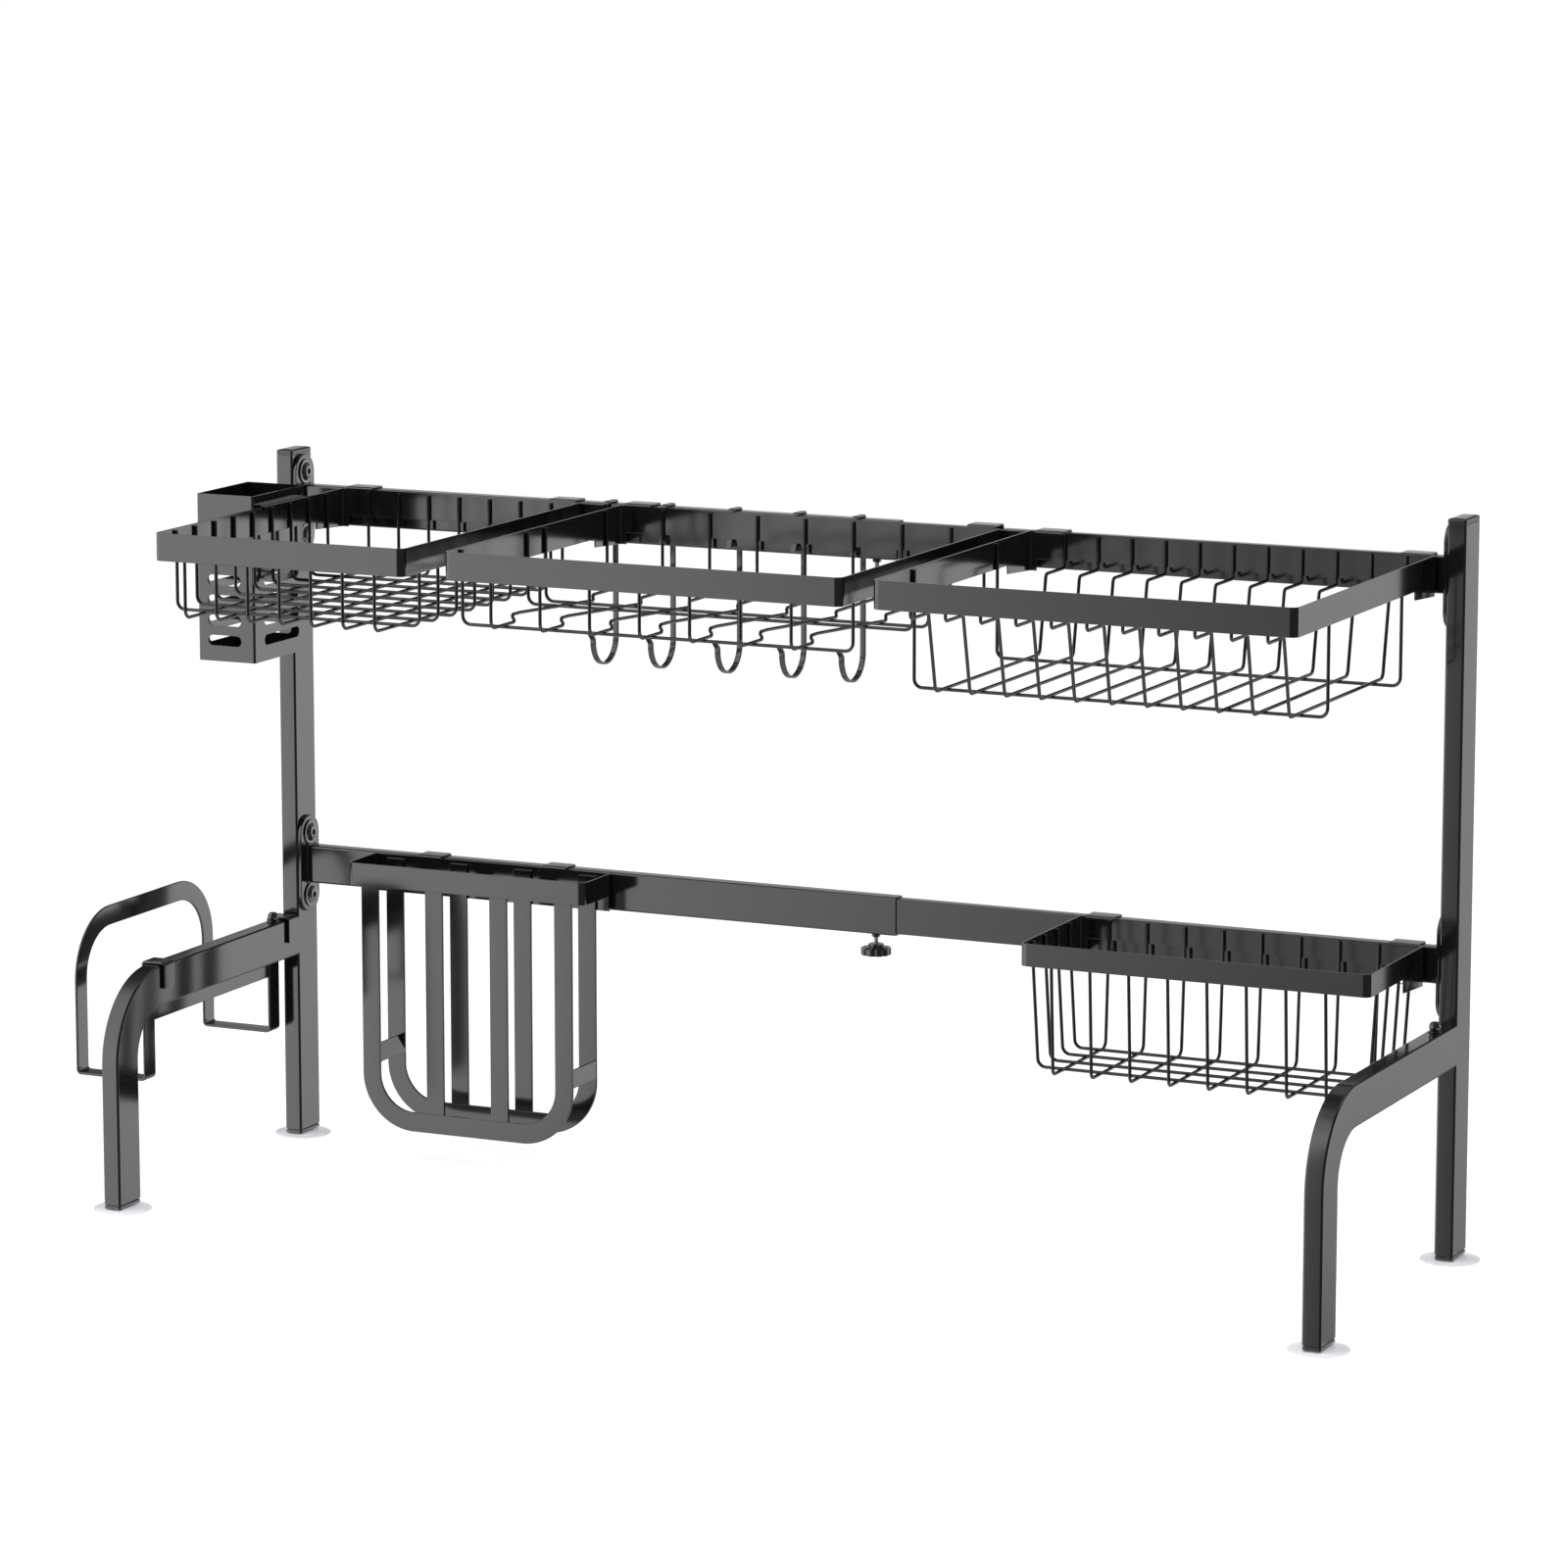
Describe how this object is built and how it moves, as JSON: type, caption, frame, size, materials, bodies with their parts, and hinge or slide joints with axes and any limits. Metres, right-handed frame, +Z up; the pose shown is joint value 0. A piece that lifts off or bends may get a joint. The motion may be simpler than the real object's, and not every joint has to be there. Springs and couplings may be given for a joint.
{
  "type": "two-tier dish rack",
  "caption": "Extendable over-counter dish rack: two bent-leg side frames, telescopic beams, hanging wire baskets, board holder, utensil box, side rack and hooks.",
  "frame": {"origin": "centre of the footprint's bounding box, on the floor", "axes": "+X along the beams to the rack's right as seen from the front, +Y to the back, +Z up"},
  "size_m": [1.026, 0.3134, 0.5345],
  "materials": {
    "black_powder_coat": "semi-gloss black powder coat on steel tube, sheet and wire",
    "black_plastic": "black moulded plastic, low gloss",
    "dark_steel": "blackened steel fasteners",
    "suction_rubber": "milky translucent soft rubber"
  },
  "bodies": {
    "frame": {"left_upright": "black_powder_coat", "left_leg": "black_powder_coat", "left_leg_spigot": "black_powder_coat", "left_leg_bolt": "dark_steel", "left_top_cap": "black_plastic", "left_rear_foot_plug": "black_plastic", "left_front_foot_plug": "black_plastic", "left_rear_suction_foot": "suction_rubber", "left_front_suction_foot": "suction_rubber", "left_upper_flange": "black_powder_coat", "left_lower_flange": "black_powder_coat", "left_upper_flange_bolt_top": "dark_steel", "left_upper_flange_bolt_bottom": "dark_steel", "left_lower_flange_bolt_top": "dark_steel", "left_lower_flange_bolt_bottom": "dark_steel", "upper_outer_beam": "black_powder_coat", "lower_outer_beam": "black_powder_coat", "upper_clamp_nut": "black_powder_coat", "lower_clamp_nut": "black_powder_coat"},
    "right_frame": {"right_upright": "black_powder_coat", "right_leg": "black_powder_coat", "right_leg_spigot": "black_powder_coat", "right_leg_bolt": "dark_steel", "right_top_cap": "black_plastic", "right_rear_foot_plug": "black_plastic", "right_front_foot_plug": "black_plastic", "right_rear_suction_foot": "suction_rubber", "right_front_suction_foot": "suction_rubber", "right_upper_flange": "black_powder_coat", "right_lower_flange": "black_powder_coat", "right_upper_flange_bolt_top": "dark_steel", "right_upper_flange_bolt_bottom": "dark_steel", "right_lower_flange_bolt_top": "dark_steel", "right_lower_flange_bolt_bottom": "dark_steel", "upper_inner_beam": "black_powder_coat", "lower_inner_beam": "black_powder_coat"},
    "upper_clamp_screw": {"upper_clamp_stud": "dark_steel"},
    "upper_clamp_handle": {"upper_clamp_knob": "black_plastic"},
    "lower_clamp_screw": {"lower_clamp_stud": "dark_steel"},
    "lower_clamp_handle": {"lower_clamp_knob": "black_plastic"},
    "left_basket": {"left_basket_rim": "black_powder_coat", "left_basket_wires": "black_powder_coat"},
    "middle_basket": {"middle_basket_rim": "black_powder_coat", "middle_basket_wires": "black_powder_coat"},
    "right_basket": {"right_basket_rim": "black_powder_coat", "right_basket_wires": "black_powder_coat"},
    "lower_basket": {"lower_basket_rim": "black_powder_coat", "lower_basket_wires": "black_powder_coat"},
    "board_holder": {"board_holder_rim": "black_powder_coat", "board_holder_cradles": "black_powder_coat"},
    "utensil_caddy": {"utensil_box": "black_powder_coat"},
    "side_holder": {"side_rack": "black_powder_coat"},
    "j_hook_1": {"hook_1": "black_powder_coat"},
    "j_hook_2": {"hook_2": "black_powder_coat"},
    "j_hook_3": {"hook_3": "black_powder_coat"},
    "j_hook_4": {"hook_4": "black_powder_coat"},
    "j_hook_5": {"hook_5": "black_powder_coat"}
  },
  "joints": [
    {"name": "width_slide", "type": "slide", "parent": "frame", "child": "right_frame", "axis": [1, 0, 0], "range_m": [-0.02, 0.05]},
    {"name": "upper_clamp_travel", "type": "slide", "parent": "frame", "child": "upper_clamp_screw", "axis": [0, 0, -1], "range_m": [0, 0.0029]},
    {"name": "upper_clamp_turn", "type": "hinge", "parent": "upper_clamp_screw", "child": "upper_clamp_handle", "pos_m": [0.0423, 0.13525, 0.4715], "axis": [0, 0, -1], "range_deg": [0, 1440]},
    {"name": "lower_clamp_travel", "type": "slide", "parent": "frame", "child": "lower_clamp_screw", "axis": [0, 0, -1], "range_m": [0, 0.0029]},
    {"name": "lower_clamp_turn", "type": "hinge", "parent": "lower_clamp_screw", "child": "lower_clamp_handle", "pos_m": [0.0423, 0.13525, 0.1925], "axis": [0, 0, -1], "range_deg": [0, 1440]},
    {"name": "left_basket_lift", "type": "slide", "parent": "frame", "child": "left_basket", "axis": [0, 0, 1], "range_m": [0, 0.03]},
    {"name": "middle_basket_lift", "type": "slide", "parent": "frame", "child": "middle_basket", "axis": [0, 0, 1], "range_m": [0, 0.03]},
    {"name": "right_basket_lift", "type": "slide", "parent": "right_frame", "child": "right_basket", "axis": [0, 0, 1], "range_m": [0, 0.03]},
    {"name": "lower_basket_lift", "type": "slide", "parent": "right_frame", "child": "lower_basket", "axis": [0, 0, 1], "range_m": [0, 0.03]},
    {"name": "board_holder_lift", "type": "slide", "parent": "frame", "child": "board_holder", "axis": [0, 0, 1], "range_m": [0, 0.03]},
    {"name": "utensil_caddy_lift", "type": "slide", "parent": "left_basket", "child": "utensil_caddy", "axis": [0, 0, 1], "range_m": [0, 0.03]},
    {"name": "side_holder_lift", "type": "slide", "parent": "frame", "child": "side_holder", "axis": [0, 0, 1], "range_m": [0, 0.03]},
    {"name": "hook_1_lift", "type": "slide", "parent": "frame", "child": "j_hook_1", "axis": [0, 0, 1], "range_m": [0, 0.02]},
    {"name": "hook_2_lift", "type": "slide", "parent": "middle_basket", "child": "j_hook_2", "axis": [0, 0, 1], "range_m": [0, 0.02]},
    {"name": "hook_3_lift", "type": "slide", "parent": "middle_basket", "child": "j_hook_3", "axis": [0, 0, 1], "range_m": [0, 0.02]},
    {"name": "hook_4_lift", "type": "slide", "parent": "middle_basket", "child": "j_hook_4", "axis": [0, 0, 1], "range_m": [0, 0.02]},
    {"name": "hook_5_lift", "type": "slide", "parent": "middle_basket", "child": "j_hook_5", "axis": [0, 0, 1], "range_m": [0, 0.02]}
  ],
  "couplings": [
    {"joint": "upper_clamp_travel", "follows": "upper_clamp_turn", "m_per_rad": 0.00011141},
    {"joint": "lower_clamp_travel", "follows": "lower_clamp_turn", "m_per_rad": 0.00011141}
  ]
}
